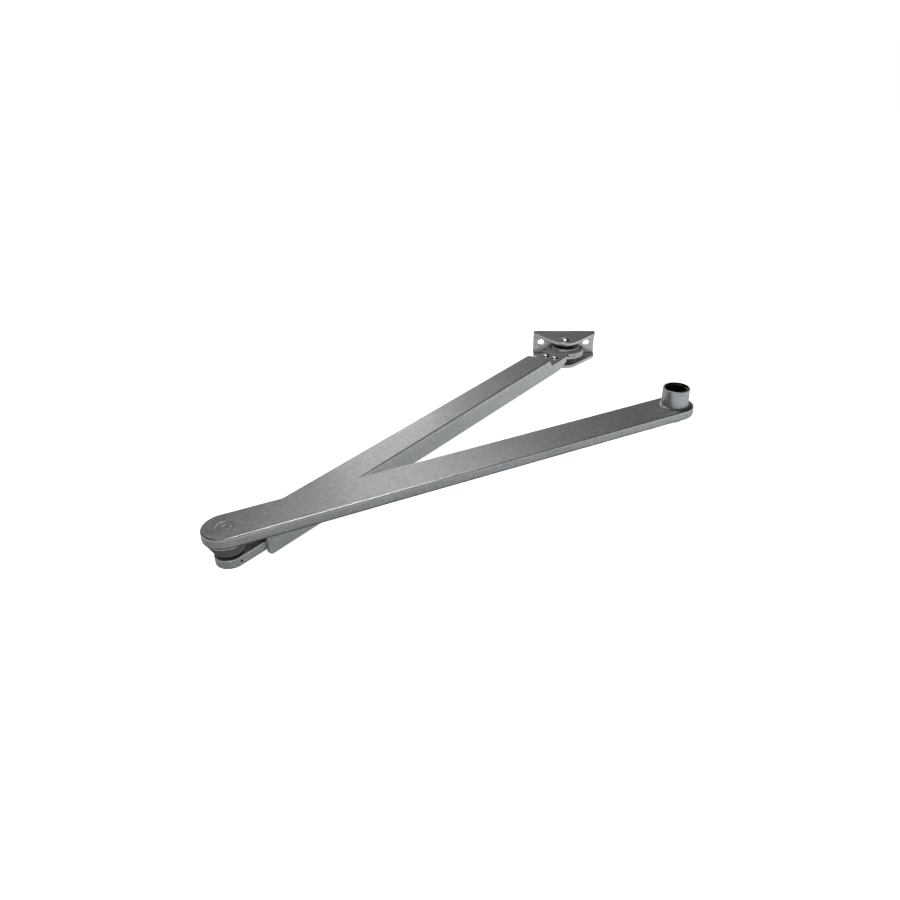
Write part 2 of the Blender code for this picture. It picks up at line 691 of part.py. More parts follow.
def main():
    clear_scene()
    paint = material("silver_paint", (0.40, 0.41, 0.42), 0.42, 0.85)
    zinc = material("yellow_zinc", (0.42, 0.36, 0.16), 0.35, 1.0)
    steel = material("zinc_steel", (0.55, 0.56, 0.57), 0.35, 1.0)
    dark = material("dark_steel", (0.03, 0.03, 0.032), 0.5, 0.6)
    bronze = material("sintered_bronze", (0.42, 0.36, 0.28), 0.45, 1.0)
    plated = material("plated_steel", (0.50, 0.50, 0.49), 0.38, 1.0)

    elbow_x = -ARM_LENGTH * math.cos(MAIN_ARM_HEADING)
    elbow_y = -ARM_LENGTH * math.sin(MAIN_ARM_HEADING)
    shoe_x = elbow_x + FOREARM_LENGTH * math.cos(FOREARM_HEADING)
    shoe_y = elbow_y + FOREARM_LENGTH * math.sin(FOREARM_HEADING)
    hub_axis = axis_empty("hub_axis", 0.0, 0.0, MAIN_ARM_HEADING)
    elbow_axis = axis_empty("elbow_axis", elbow_x, elbow_y, FOREARM_HEADING)
    shoe_axis = axis_empty("shoe_axis", shoe_x, shoe_y, 0.0)

    make_main_arm(paint, hub_axis)
    make_spindle_socket(zinc, hub_axis)
    make_arm_screw(steel, hub_axis)
    make_elbow_stud(paint, hub_axis)
    make_elbow_stack(paint, dark, steel, hub_axis)
    make_slide(paint, elbow_axis)
    make_elbow_bushing(bronze, elbow_axis)
    make_channel(paint, elbow_axis)
    make_doubler(paint, elbow_axis)
    make_rivets(paint, elbow_axis)
    make_clamp(steel, zinc, elbow_axis)
    make_shoe_bracket(paint, shoe_axis)
    make_shoe_pin(paint, shoe_axis)
    make_pin_stack(paint, dark, plated, elbow_axis, shoe_axis)


main()
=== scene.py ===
"""Looks of a door closer's double lever arm: finer meshes, finishes, light and camera.

Everything is in metres in the row frame. Lengths along an arm are measured from the pivot that
carries it. Most widths and heights come from the CAD nodes; edges, bends and holes are named below.
"""

import json
import math

import bmesh
import bpy
from mathutils import Matrix, Vector


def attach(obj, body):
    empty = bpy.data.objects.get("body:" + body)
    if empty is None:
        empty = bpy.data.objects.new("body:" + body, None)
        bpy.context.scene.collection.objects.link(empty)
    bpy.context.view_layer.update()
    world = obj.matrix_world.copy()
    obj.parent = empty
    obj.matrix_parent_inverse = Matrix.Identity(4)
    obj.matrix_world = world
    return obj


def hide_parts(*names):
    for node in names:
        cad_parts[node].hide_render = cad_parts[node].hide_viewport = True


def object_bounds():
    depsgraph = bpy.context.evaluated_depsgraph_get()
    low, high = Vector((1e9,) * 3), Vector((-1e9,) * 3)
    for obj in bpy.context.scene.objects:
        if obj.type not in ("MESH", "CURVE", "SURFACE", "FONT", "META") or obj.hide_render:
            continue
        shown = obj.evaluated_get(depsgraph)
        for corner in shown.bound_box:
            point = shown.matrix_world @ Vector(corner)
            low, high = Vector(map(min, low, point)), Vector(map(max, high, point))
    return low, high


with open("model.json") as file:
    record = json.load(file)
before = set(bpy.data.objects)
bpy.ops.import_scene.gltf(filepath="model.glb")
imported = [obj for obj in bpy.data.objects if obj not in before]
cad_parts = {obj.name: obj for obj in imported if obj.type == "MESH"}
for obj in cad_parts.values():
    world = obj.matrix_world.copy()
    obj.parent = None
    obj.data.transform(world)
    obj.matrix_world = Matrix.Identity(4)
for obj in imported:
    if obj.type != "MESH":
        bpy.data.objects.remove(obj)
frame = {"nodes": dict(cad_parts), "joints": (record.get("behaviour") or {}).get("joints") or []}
cad_low, cad_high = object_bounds()

# Points around a turned piece, how far a cutter goes past what it cuts, and how far shells sink in
ROUND = 72
SMALL_ROUND = 48
OVERSHOOT = 0.003
SHORT_OVERSHOOT = 0.001
SINK = 0.0005
# Where a rounded edge's support loop lies, in multiples of the edge's radius
SUPPORT = 1.5
# Gaps between pieces that rest on each other, and between a ring and its shaft
REST_GAP = 0.0002
RING_GAP = 0.0002
PIN_GAP = 0.0001

# Main arm: its lower edge is rounder than in the CAD, and ARM_BELLY is how much lower it hangs
ARM_THICKNESS = 0.00635
ARM_EDGE = 0.0010
ARM_FOOT = 0.0018
ARM_BELLY = 0.0005

# Hub: the fillet at its foot is HUB_FILLET high and HUB_TOE wide
HUB_RADIUS = 0.00885
HUB_BORE = 0.0077
HUB_FILLET = 0.0008
HUB_TOE = 0.0014
HUB_ROOT = 0.001
HUB_RIM = 0.0004
HUB_FLOOR = 0.0045
SOCKET_TEETH = 24
TOOTH_POINTS = 6
TOOTH_FLAT = 0.2
SOCKET_ROOT = 0.0068
SOCKET_CREST = 0.0062
SOCKET_LEAD_IN = 0.0007

# Hub bolt: its neck is in multiples of its radius, and its thread's depth of the pitch
BOLT_RADIUS = 0.0030
BOLT_GAP = 0.0003
BOLT_PITCH = 0.0010
BOLT_POINTS = 0.0110
BOLT_NECK = 0.9
THREAD_DEPTH = 0.6
WASHER_EDGE = 0.0003
# The cone that cuts a hexagon head's points: radii in multiples of the size across the points
# at its tip, at the head's end and at its widest, and its slope
HEAD_TIP = 0.30
HEAD_FACE = 0.475
HEAD_REACH = 1.02 / math.sqrt(3)
HEAD_SLOPE = 0.577
HEAD_CROWN = 0.0001
HEAD_EDGE = 0.00015

# Elbow: stud, the seat and groove around its head, the dimple in it, and the rings under the arm.
# The dimple's slope and the crown around it reach out to multiples of STUD_DIMPLE.
STUD_RADIUS = 0.0032
STUD_HOLE = 0.0034
STUD_HEAD_DEPTH = 0.0012
STUD_HEAD_TAPER = 0.0002
SEAT_DEPTH = 0.0005
SEAT_CORNER = 0.0006
GROOVE_WALL = 0.0001
GROOVE_DEPTH = 0.0001
GROOVE_LIP = 0.00003
GROOVE_REACH = 0.0004
STUD_DIMPLE = 0.0016
STUD_DIMPLE_DEPTH = 0.00014
DIMPLE_REACH = 1.3
CROWN_REACH = 1.5
STUD_CROWN = 0.00005
SPACER_EDGE = 0.0006
SPACER_BASE = 0.0084
TAIL_RING_EDGE = 0.0002

# Forearm's channel: sheet, bends, crank, sloping wall ends, and the eye with its rivets
SHEET = 0.0022
BEND = 0.0012
INNER_BEND = 0.0006
DEBURR = 0.00025
CHANNEL_CORNER = 0.0025
CRANK_START = 0.3127
CRANK_STOP = 0.3174
WALL_SLOPE_START = 0.329
WALL_END = 0.341
WALL_END_BOTTOM = -0.0330
EYE_RADIUS = 0.0152
EYE_BORE = 0.0047
EYE_ROOT = 0.006
DOUBLER_REACH = 0.00015
RIVET_RADIUS = 0.0016

# Slide bar with its slot, bush and oil hole, and the clamp that holds it
SLIDE_FOOT = 0.0010
SLIDE_EDGE = 0.0007
SLIDE_CORNER = 0.001
SLOT = (0.116, 0.214)
SLOT_HALF_WIDTH = 0.0030
OIL_HOLE_PLACE = 0.0007
OIL_HOLE_RADIUS = 0.0008
OIL_HOLE_DEPTH = 0.0024
SLIDE_BUSH_BORE = 0.0033
SLIDE_BUSH_EDGE = 0.0002
CLAMP_RADIUS = 0.0025
CLAMP_POINTS = 0.0080
CLAMP_PLATE_EDGE = 0.0003
CLAMP_PLATE_GAP = 0.0003

# Shoe: bent plate, screw holes, pin, and the bush and rings on the pin
SHOE_PLATE = 0.0028
SHOE_BEND = 0.0038
SHOE_EAR_START = 0.0168
SHOE_NOSE = 0.0118
SHOE_NOSE_PLACE = 0.0034
SHOE_EDGE = 0.0005
SHOE_HOLE_EDGE = 0.00015
SHOE_HOLE_SPACING = 0.0400
SHOE_HOLE_RADIUS = 0.0028
SHOE_HOLE_HEIGHT = -0.0320
SHOE_OVERSHOOT = 0.002
PIN_RADIUS = 0.0030
PIN_RISE = 0.0016
THRUST_DISC_EDGE = 0.0003
LOWER_DISC_EDGE = 0.0006
EYE_WASHER_EDGE = 0.0003
EYE_BUSH_RADIUS = 0.0045
EYE_BUSH_EDGE = 0.0004

# Wear: faces narrower than WEAR_WIDTH rub first, from an outward turn of WEAR_START radians
WEAR_WIDTH = 0.0006
WEAR_START = 0.12
WEAR_SPAN = 0.3
# Edges that turn by more than these angles are shaded sharp, or are broken by a bevel
SHARP_ANGLE = math.radians(34)
DEBURR_ANGLE = math.radians(40)

# Sizes of the patches in a metal's finish: its mottle, broad tone, rubbed spots and uneven gloss
MOTTLE_SIZE = 0.004
TONE_SIZE = 0.045
RUB_SIZE = 0.0012
GLOSS_SIZE = 0.0025
GLOSS_SPREAD = 0.05
# How much rubbing shows in the colour and in the roughness, and how high a grain stands
RUB_COLOUR = 0.55
RUB_POLISH = 0.08
GRAIN_HEIGHT = 0.25

# Brightness of the surroundings by the sine of the view's elevation: -1 is straight down, 0 is
# level and 1 is straight up
SKY = (
    (-0.66, 0.05),
    (-0.60, 0.36),
    (-0.38, 0.36),
    (-0.32, 1.70),
    (-0.08, 1.70),
    (-0.02, 1.20),
    (0.11, 1.20),
    (0.17, 0.0),
)
# How much brighter the surroundings get towards +X, and how red they are beside green and blue
SKY_TILT = 0.15
SKY_RED = 0.97

# Soft lights: name, azimuth and elevation in degrees, distance, width, height, and power in watts
LIGHTS = (
    ("front_fill", 180.0, 35.0, 1.8, 1.20, 0.60, 4.0),
    ("back_low_softbox", -14.0, 20.0, 1.6, 0.30, 0.30, 1.45),
    ("back_middle_softbox", -4.0, 33.0, 1.6, 0.30, 0.30, 0.22),
    ("back_high_softbox", -10.0, 46.0, 1.6, 0.85, 0.30, 0.70),
    ("overhead_softbox", -12.0, 70.0, 1.3, 0.40, 0.25, 8.0),
)
FLOOR_REACH = 30.0
FLOOR_GAP = 0.0003

# Camera: where it stands, the way it looks, its roll, and its lens in millimetres
CAMERA_PLACE = (-0.1157, -0.4563, 0.2043)
CAMERA_AZIMUTH = math.radians(-4.71)
CAMERA_ELEVATION = math.radians(29.06)
CAMERA_ROLL = math.radians(1.6)
CAMERA_LENS = 29.2
SENSOR_WIDTH = 36.0


def joint_place(name):
    """Where a joint is, in the row frame."""
    joint = next(j for j in frame["joints"] if j["name"] == name)
    return Vector(joint["pos_m"])


def pivot_axes(place, heading):
    """Axes on a vertical pivot, at z = 0, with X along the length that it carries."""
    return Matrix.Translation((place.x, place.y, 0.0)) @ Matrix.Rotation(heading, 4, "Z")


elbow = joint_place("elbow_pivot")
shoe = joint_place("shoe_pivot")
HUB = pivot_axes(Vector((0, 0, 0)), math.atan2(-elbow.y, -elbow.x))
ELBOW = pivot_axes(elbow, math.atan2(shoe.y - elbow.y, shoe.x - elbow.x))
SHOE = pivot_axes(shoe, 0.0)
ARM_LENGTH = math.hypot(elbow.x, elbow.y)
FOREARM_LENGTH = math.hypot(shoe.x - elbow.x, shoe.y - elbow.y)


def extent(name, axes):
    """Lowest and highest corner of a CAD node along a pivot's own axes."""
    inverse = axes.inverted()
    points = [inverse @ vertex.co for vertex in frame["nodes"][name].data.vertices]
    low = Vector([min(p[i] for p in points) for i in range(3)])
    high = Vector([max(p[i] for p in points) for i in range(3)])
    return low, high


# ---- meshes ----


def arc(x, y, radius, start, stop, steps):
    """Points on an arc, angles in degrees, both ends included."""
    points = []
    for i in range(steps + 1):
        angle = math.radians(start + (stop - start) * i / steps)
        points.append((x + radius * math.cos(angle), y + radius * math.sin(angle)))
    return points


def circle(x, y, radius, count=ROUND):
    """Points around a whole circle, the first of them towards +X."""
    return arc(x, y, radius, 0, 360, count)[:-1]


def at_height(outline, z):
    """A flat outline's points, all raised to z."""
    return [(x, y, z) for x, y in outline]


def loft(loops, closed=False):
    """A bmesh skin through loops of equal length: capped at both ends, or closed on itself."""
    bm = bmesh.new()
    rings = [[bm.verts.new(point) for point in loop] for loop in loops]
    count = len(loops[0])
    pairs = list(zip(rings, rings[1:]))
    if closed:
        pairs.append((rings[-1], rings[0]))
    for low, high in pairs:
        for i in range(count):
            j = (i + 1) % count
            bm.faces.new((low[i], low[j], high[j], high[i]))
    if not closed:
        bm.faces.new(reversed(rings[0]))
        bm.faces.new(rings[-1])
    bmesh.ops.recalc_face_normals(bm, faces=bm.faces)
    return bm


def turned(x, y, profile, count=ROUND):
    """A solid of revolution about a vertical axis, from (radius, z) pairs, bottom to top."""
    return loft([at_height(circle(x, y, radius, count), z) for radius, z in profile])


def turned_ring(x, y, profile, count=ROUND):
    """A ring about a vertical axis, from a closed outline of (radius, z) pairs."""
    return loft([at_height(circle(x, y, radius, count), z) for radius, z in profile], closed=True)


def ring(x, y, bore, radius, low, high, edge):
    """A flat ring whose outer edges are rounded and whose bore is lightly chamfered."""
    chamfer = edge / 2
    outline = [(bore, low + chamfer), (bore + chamfer, low)]
    outline += arc(radius - edge, low + edge, edge, -90, 0, 5)
    outline += arc(radius - edge, high - edge, edge, 0, 90, 5)
    outline += [(bore + chamfer, high), (bore, high - chamfer)]
    return turned_ring(x, y, outline)


def stadium(start, stop, half_width, inset=0.0, steps=40):
    """Outline of a bar round at both ends, whose end centres lie at start and stop on X."""
    radius = half_width - inset
    return arc(stop, 0, radius, -90, 90, steps) + arc(start, 0, radius, 90, 270, steps)


def bend_stations(radius, steps):
    """(inset, lowered) pairs around a quarter bend, from a wall up to the flat that it joins."""
    stations = []
    for i in range(steps + 1):
        angle = math.pi / 2 * i / steps
        stations.append((radius * (1 - math.cos(angle)), radius * (1 - math.sin(angle))))
    return stations


def rounded_side(low, high, foot, edge, steps=6):
    """(height, inset) stations up a plate's side, with a support loop on each flat face."""
    up = [(low, foot * SUPPORT)]
    down = [(high, edge * SUPPORT)]
    for i in range(steps + 1):
        angle = math.pi / 2 * (1 - i / steps)
        up.append((low + foot * (1 - math.sin(angle)), foot * (1 - math.cos(angle))))
        down.append((high - edge * (1 - math.sin(angle)), edge * (1 - math.cos(angle))))
    return up + down[::-1]


def dome(radius, low, rise, steps=10):
    """(radius, z) pairs of a domed head, part of a sphere, from its rim up to its crown."""
    sphere = (radius**2 + rise**2) / (2 * rise)
    edge = math.asin(min(1.0, radius / sphere))
    pairs = []
    for i in range(steps + 1):
        angle = edge * (1 - i / (steps + 0.5))
        pairs.append((sphere * math.sin(angle), low + rise - sphere * (1 - math.cos(angle))))
    return pairs


def upside_down(pairs, seat):
    """A head's (radius, z) pairs, which start at z = 0, hung below seat and listed upwards."""
    return [(radius, seat - z) for radius, z in reversed(pairs)]


def threaded(radius, pitch, low, high, steps=8, count=SMALL_ROUND):
    """Loops of a right-hand thread with a chamfered upper end."""
    depth = THREAD_DEPTH * pitch
    loops = []
    for i in range(int((high - low) / pitch * steps) + 1):
        z = low + i * pitch / steps
        loop = []
        for k in range(count):
            phase = (z / pitch - k / count) % 1
            reach = min(radius - depth * abs(2 * phase - 1), radius - depth + high - z)
            angle = 2 * math.pi * k / count
            loop.append((reach * math.cos(angle), reach * math.sin(angle), z))
        loops.append(loop)
    return loops


# ---- pieces ----


def object_of(name, bm):
    """A bmesh made into an object of the scene, which uses the bmesh up."""
    mesh = bpy.data.meshes.new(name)
    bm.to_mesh(mesh)
    bm.free()
    obj = bpy.data.objects.new(name, mesh)
    bpy.context.scene.collection.objects.link(obj)
    return obj


def worked(base, steps, deburr=0.0):
    """A bmesh of base after each (bmesh, operation) in turn, with its sharp edges broken."""
    obj = object_of("worked", base)
    helpers = []
    for other, operation in steps:
        helper = object_of("helper", other)
        helper.hide_render = True
        helpers.append(helper)
        modifier = obj.modifiers.new("cut", "BOOLEAN")
        modifier.operation = operation
        modifier.solver = "EXACT"
        modifier.object = helper
    if deburr:
        modifier = obj.modifiers.new("deburr", "BEVEL")
        modifier.width = deburr
        modifier.segments = 3
        modifier.limit_method = "ANGLE"
        modifier.angle_limit = DEBURR_ANGLE
        modifier.use_clamp_overlap = False
    graph = bpy.context.evaluated_depsgraph_get()
    bm = bmesh.new()
    bm.from_object(obj, graph)
    bmesh.ops.remove_doubles(bm, verts=bm.verts, dist=1e-6)
    for helper in [obj, *helpers]:
        bpy.data.objects.remove(helper)
    return bm


def mark_wear(bm):
    """Stores how worn each corner is: the narrow faces of outward edges rub first."""
    layer = bm.loops.layers.float.new("wear")
    bend = {}
    for edge in bm.edges:
        turn = edge.calc_face_angle_signed(0.0) if len(edge.link_faces) == 2 else 0.0
        for vert in edge.verts:
            bend[vert] = max(bend.get(vert, 0.0), turn)
    for face in bm.faces:
        narrow = min(edge.calc_length() for edge in face.edges) < WEAR_WIDTH
        for loop in face.loops:
            rub = (bend[loop.vert] - WEAR_START) / WEAR_SPAN
            loop[layer] = min(1.0, max(0.0, rub)) if narrow else 0.0


def piece(name, bm, axes, body, nodes, material):
    """A finished piece in the row frame, which stands for CAD nodes and rides on their body."""
    bm.transform(axes)
    mark_wear(bm)
    obj = object_of(name, bm)
    obj.data.materials.append(material)
    obj.data.shade_smooth()
    obj.data.set_sharp_from_angle(angle=SHARP_ANGLE)
    modifier = obj.modifiers.new("flat faces stay flat", "WEIGHTED_NORMAL")
    modifier.keep_sharp = True
    modifier.weight = 100
    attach(obj, body)
    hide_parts(*nodes)
    return obj


def make_arm(paint, zinc):
    """The bar with its hub. The hub's bore and the edge around it have the socket's finish,
    darkened as painted shade.
    """
    low, high = extent("main_arm", HUB)
    top = low.z + ARM_THICKNESS
    half = high.y
    loops = []
    for z, inset in rounded_side(low.z - ARM_BELLY, top, ARM_FOOT, ARM_EDGE):
        loops.append(at_height(stadium(-ARM_LENGTH, 0.0, half, inset), z))
    floor = low.z + HUB_FLOOR
    hole = BOLT_RADIUS + BOLT_GAP
    steps = [
        (turned(0, 0, hub_profile(top, high.z)), "UNION"),
        (turned(0, 0, [(HUB_BORE, floor), (HUB_BORE, high.z + OVERSHOOT)]), "DIFFERENCE"),
        (turned(0, 0, [(hole, low.z - OVERSHOOT), (hole, top)]), "DIFFERENCE"),
        (turned(-ARM_LENGTH, 0, stud_seat(low.z, top)), "DIFFERENCE"),
    ]
    bm = worked(loft(loops), steps)
    arm = piece("arm_bar", bm, HUB, "main_arm", ["main_arm"], paint)
    arm.data.materials.append(zinc)
    for face in arm.data.polygons:
        reach = max(math.hypot(*arm.data.vertices[i].co.xy) for i in face.vertices)
        # These faces take the darkened zinc: painted shade inside the bore
        if reach < HUB_BORE + HUB_RIM and face.center.z > floor - HUB_RIM:
            face.material_index = 1


def hub_profile(top, rim, steps=10):
    """The hub's outside: a fillet off the bar's top, a plain wall and a rounded rim."""
    profile = [(HUB_RADIUS + HUB_TOE, top - HUB_ROOT)]
    for i in range(steps + 1):
        angle = math.pi / 2 * i / steps
        radius = HUB_RADIUS + HUB_TOE * (1 - math.sin(angle))
        profile.append((radius, top + HUB_FILLET * (1 - math.cos(angle))))
    profile += arc(HUB_RADIUS - HUB_RIM, rim - HUB_RIM, HUB_RIM, 0, 90, 5)
    profile.append((HUB_BORE + HUB_RIM / 2, rim))
    profile.append((HUB_BORE - HUB_RIM / 2, rim - HUB_RIM))
    return profile


def stud_seat(bottom, top):
    """The stud's hole, and the shallow groove that its head is pressed into."""
    head = extent("elbow_stud", HUB)[1].x + ARM_LENGTH
    return [
        (STUD_HOLE, bottom - OVERSHOOT),
        (STUD_HOLE, top - SEAT_CORNER),
        (head - SEAT_CORNER, top - SEAT_DEPTH),
        (head - GROOVE_WALL, top - GROOVE_DEPTH),
        (head + GROOVE_WALL, top - GROOVE_LIP),
        (head + GROOVE_REACH, top),
        (head + GROOVE_REACH + OVERSHOOT, top + OVERSHOOT),
    ]


def make_socket(zinc):
    """The hub's lining, whose teeth rise from root to crest and fall back in TOOTH_POINTS steps."""
    low, high = extent("spindle_socket", HUB)
    count = SOCKET_TEETH * TOOTH_POINTS
    inner = []
    for i in range(count):
        share = abs(2 * ((i / TOOTH_POINTS) % 1) - 1)
        rise = min(1.0, max(0.0, (share - TOOTH_FLAT) / (1 - 2 * TOOTH_FLAT)))
        radius = SOCKET_ROOT + (SOCKET_CREST - SOCKET_ROOT) * rise
        angle = 2 * math.pi * i / count
        inner.append((radius * math.cos(angle), radius * math.sin(angle)))
    outer = circle(0, 0, high.x, count)
    lead_in = circle(0, 0, (SOCKET_ROOT + high.x) / 2, count)
    loops = [
        at_height(outer, low.z),
        at_height(outer, high.z),
        at_height(lead_in, high.z),
        at_height(inner, high.z - SOCKET_LEAD_IN),
        at_height(inner, low.z),
    ]
    bm = loft(loops, closed=True)
    # Its finish is yellow zinc darkened as painted shade in the deep bore
    piece("hub_socket", bm, HUB, "main_arm", ["spindle_socket"], zinc)


def hex_head(x, y, points, bottom, seat):
    """A hexagon head that hangs below its seat, with its points turned to a cone."""
    hexagon = circle(x, y, points / 2, 6)
    bm = loft([at_height(hexagon, bottom), at_height(hexagon, seat)])
    face = points * HEAD_FACE
    reach = points * HEAD_REACH
    cone = [
        (points * HEAD_TIP, bottom - HEAD_CROWN),
        (face, bottom),
        (reach, bottom + (reach - face) * HEAD_SLOPE),
        (reach, seat + SHORT_OVERSHOOT),
    ]
    return worked(bm, [(turned(x, y, cone), "INTERSECT")], HEAD_EDGE)


def joined(parts):
    """Several closed shells in one bmesh."""
    whole = bmesh.new()
    for bm in parts:
        mesh = bpy.data.meshes.new("part")
        bm.to_mesh(mesh)
        bm.free()
        whole.from_mesh(mesh)
        bpy.data.meshes.remove(mesh)
    return whole


def make_bolt(steel):
    """The bolt that holds the hub on the spindle: head, neck and thread, and its washer."""
    low, high = extent("arm_screw", HUB)
    washer_low, washer_high = extent("arm_screw_washer", HUB)
    seat = washer_low.z
    thread = loft(threaded(BOLT_RADIUS, BOLT_PITCH, seat + SINK, high.z))
    neck = BOLT_RADIUS * BOLT_NECK
    shank = turned(0, 0, [(neck, seat - SINK), (neck, seat + 2 * SINK)])
    bm = joined([hex_head(0, 0, BOLT_POINTS, low.z, seat - REST_GAP), shank, thread])
    piece("hub_bolt", bm, HUB, "main_arm", ["arm_screw"], steel)
    bore = BOLT_RADIUS + RING_GAP
    bm = ring(0, 0, bore, washer_high.x, washer_low.z, washer_high.z, WASHER_EDGE)
    piece("hub_bolt_washer", bm, HUB, "main_arm", ["arm_screw_washer"], steel)


def make_stud(paint):
    """The stud: a domed tail, and a head that rises to a crown around its dimple."""
    low, high = extent("elbow_stud", HUB)
    seat = extent("elbow_tail_washer", HUB)[0].z
    top = extent("main_arm", HUB)[0].z + ARM_THICKNESS
    head = high.x + ARM_LENGTH - GROOVE_WALL
    head_bottom = top - STUD_HEAD_DEPTH
    profile = upside_down(dome(head, 0.0, seat - low.z), seat)
    profile += [(STUD_RADIUS, seat), (STUD_RADIUS, head_bottom)]
    profile.append((head - STUD_HEAD_TAPER, head_bottom))
    crown = top + STUD_CROWN
    for share in (0.0, 0.15, 0.35, 0.6, 0.85, 1.0):
        radius = head + (STUD_DIMPLE * CROWN_REACH - head) * share
        profile.append((radius, crown - STUD_CROWN * (1 - share) ** 2))
    for share in (DIMPLE_REACH, 1.1, 0.95, 0.8, 0.6, 0.4, 0.2, 0.08):
        sink = STUD_DIMPLE_DEPTH * max(0.0, 1 - (share / DIMPLE_REACH) ** 2) ** 2
        profile.append((STUD_DIMPLE * share, crown - sink))
    bm = turned(-ARM_LENGTH, 0, profile)
    piece("elbow_rivet", bm, HUB, "main_arm", ["elbow_stud"], paint)


def make_elbow_rings(paint, dark, steel):
    """The rings on the stud: a cone under the arm, a ring on the eye, and one below it."""
    low, high = extent("elbow_spacer", HUB)
    rim = arc(high.y - SPACER_EDGE, high.z - SPACER_EDGE, SPACER_EDGE, -30, 90, 8)
    base = arc(SPACER_BASE - SPACER_EDGE, low.z + SPACER_EDGE, SPACER_EDGE, -90, -20, 5)
    bm = turned_ring(-ARM_LENGTH, 0, [(STUD_HOLE, low.z), *base, *rim, (STUD_HOLE, high.z)])
    piece("elbow_spacer_cone", bm, HUB, "main_arm", ["elbow_spacer"], paint)
    for name, node, slot, finish, edge in (
        ("elbow_thrust_ring", "elbow_thrust_washer", "dark_steel", dark, WASHER_EDGE),
        ("elbow_tail_ring", "elbow_tail_washer", "zinc_steel", steel, TAIL_RING_EDGE),
    ):
        low, high = extent(node, HUB)
        bm = ring(-ARM_LENGTH, 0, STUD_HOLE, high.y, low.z, high.z, edge)
        piece(name, bm, HUB, "main_arm", [node], finish)


def make_slide(paint, bronze):
    """The slide bar: round at the elbow, with a bush, a slot and an oil hole in its side."""
    low, high = extent("forearm_slide", ELBOW)
    bush_low, bush_high = extent("elbow_bushing", ELBOW)
    half = high.y
    loops = []
    corner_x = high.x - SLIDE_CORNER
    corner_y = half - SLIDE_CORNER
    for z, inset in rounded_side(low.z, high.z, SLIDE_FOOT, SLIDE_EDGE, 5):
        corner = SLIDE_CORNER - inset * 0.5
        outline = arc(0, 0, half - inset, 90, 270, 48)
        outline += arc(corner_x, -corner_y, corner, -90, 0, 4)
        outline += arc(corner_x, corner_y, corner, 0, 90, 4)
        loops.append(at_height(outline, z))
    slot = stadium(*SLOT, SLOT_HALF_WIDTH, steps=20)
    below = low.z - OVERSHOOT
    above = high.z + OVERSHOOT
    bore = bush_high.x
    oil_hole = circle(OIL_HOLE_PLACE, (low.z + high.z) / 2, OIL_HOLE_RADIUS, 24)
    ends = (-half - OVERSHOOT, OIL_HOLE_DEPTH - half)
    steps = [
        (loft([at_height(slot, below), at_height(slot, above)]), "DIFFERENCE"),
        (turned(0, 0, [(bore, below), (bore, above)]), "DIFFERENCE"),
        (loft([[(x, y, z) for x, z in oil_hole] for y in ends]), "DIFFERENCE"),
    ]
    bm = worked(loft(loops), steps)
    piece("slide_bar", bm, ELBOW, "slide", ["forearm_slide"], paint)
    bm = ring(0, 0, SLIDE_BUSH_BORE, bore, bush_low.z, bush_high.z, SLIDE_BUSH_EDGE)
    piece("slide_bush", bm, ELBOW, "slide", ["elbow_bushing"], bronze)


def crank(top, drop, shift, steps=12):
    """The sheet's line through the crank, seen from the side: a smooth step down."""
    points = []
    for i in range(steps + 1):
        share = i / steps
        x = CRANK_START + (CRANK_STOP - CRANK_START) * share - shift
        points.append((x, top - drop * share * share * (3 - 2 * share)))
    return points


def channel_side(low, high, lowered):
    """The channel seen from the side, as (x, z): its top is lowered towards the bends."""
    eye_top = eye_level()[1]
    corner_x = low.x + CHANNEL_CORNER
    corner_z = low.z + CHANNEL_CORNER
    outline = [(low.x, high.z - lowered)]
    outline += crank(high.z - lowered, high.z - eye_top, 0.0)
    outline += [(WALL_END, eye_top - lowered), (WALL_END, WALL_END_BOTTOM)]
    outline.append((WALL_SLOPE_START, low.z))
    outline += arc(corner_x, corner_z, CHANNEL_CORNER, 270, 180, 10)
    return outline


def eye_level():
    """Heights of the eye sheet's underside and top, between the doubler and the washer."""
    top = extent("shoe_washer", ELBOW)[0].z - REST_GAP
    return top - SHEET, top


def across(half, radius, steps, side_view):
    """A skin through side views at each station of the bend at -half, then of the one at +half."""
    stations = bend_stations(radius, steps)
    loops = []
    for side, turn in ((-1, stations), (1, stations[::-1])):
        for inset, lowered in turn:
            loops.append([(x, side * (half - inset), z) for x, z in side_view(lowered)])
    return loft(loops)


def inside_side(low, high, lowered):
    """What is empty under the sheet, as (x, z): it follows the top down through the crank."""
    eye_bottom, eye_top = eye_level()
    below = low.z - OVERSHOOT
    start = low.x - OVERSHOOT
    stop = WALL_END + OVERSHOOT
    roof = high.z - SHEET - lowered
    outline = [(start, roof), *crank(roof, high.z - eye_top, SHEET / 2)]
    return outline + [(stop, eye_bottom - lowered), (stop, below), (start, below)]


def eye_outline(start, neck, shoulder, width):
    """A neck from start to shoulder, then a wider neck that runs into the round eye."""
    angle = math.degrees(math.asin(width / EYE_RADIUS))
    outline = arc(FOREARM_LENGTH, 0, EYE_RADIUS, angle - 180, 180 - angle, 64)
    outline += [(shoulder, width), (shoulder, neck), (start, neck)]
    outline += [(start, -neck), (shoulder, -neck), (shoulder, -width)]
    return outline


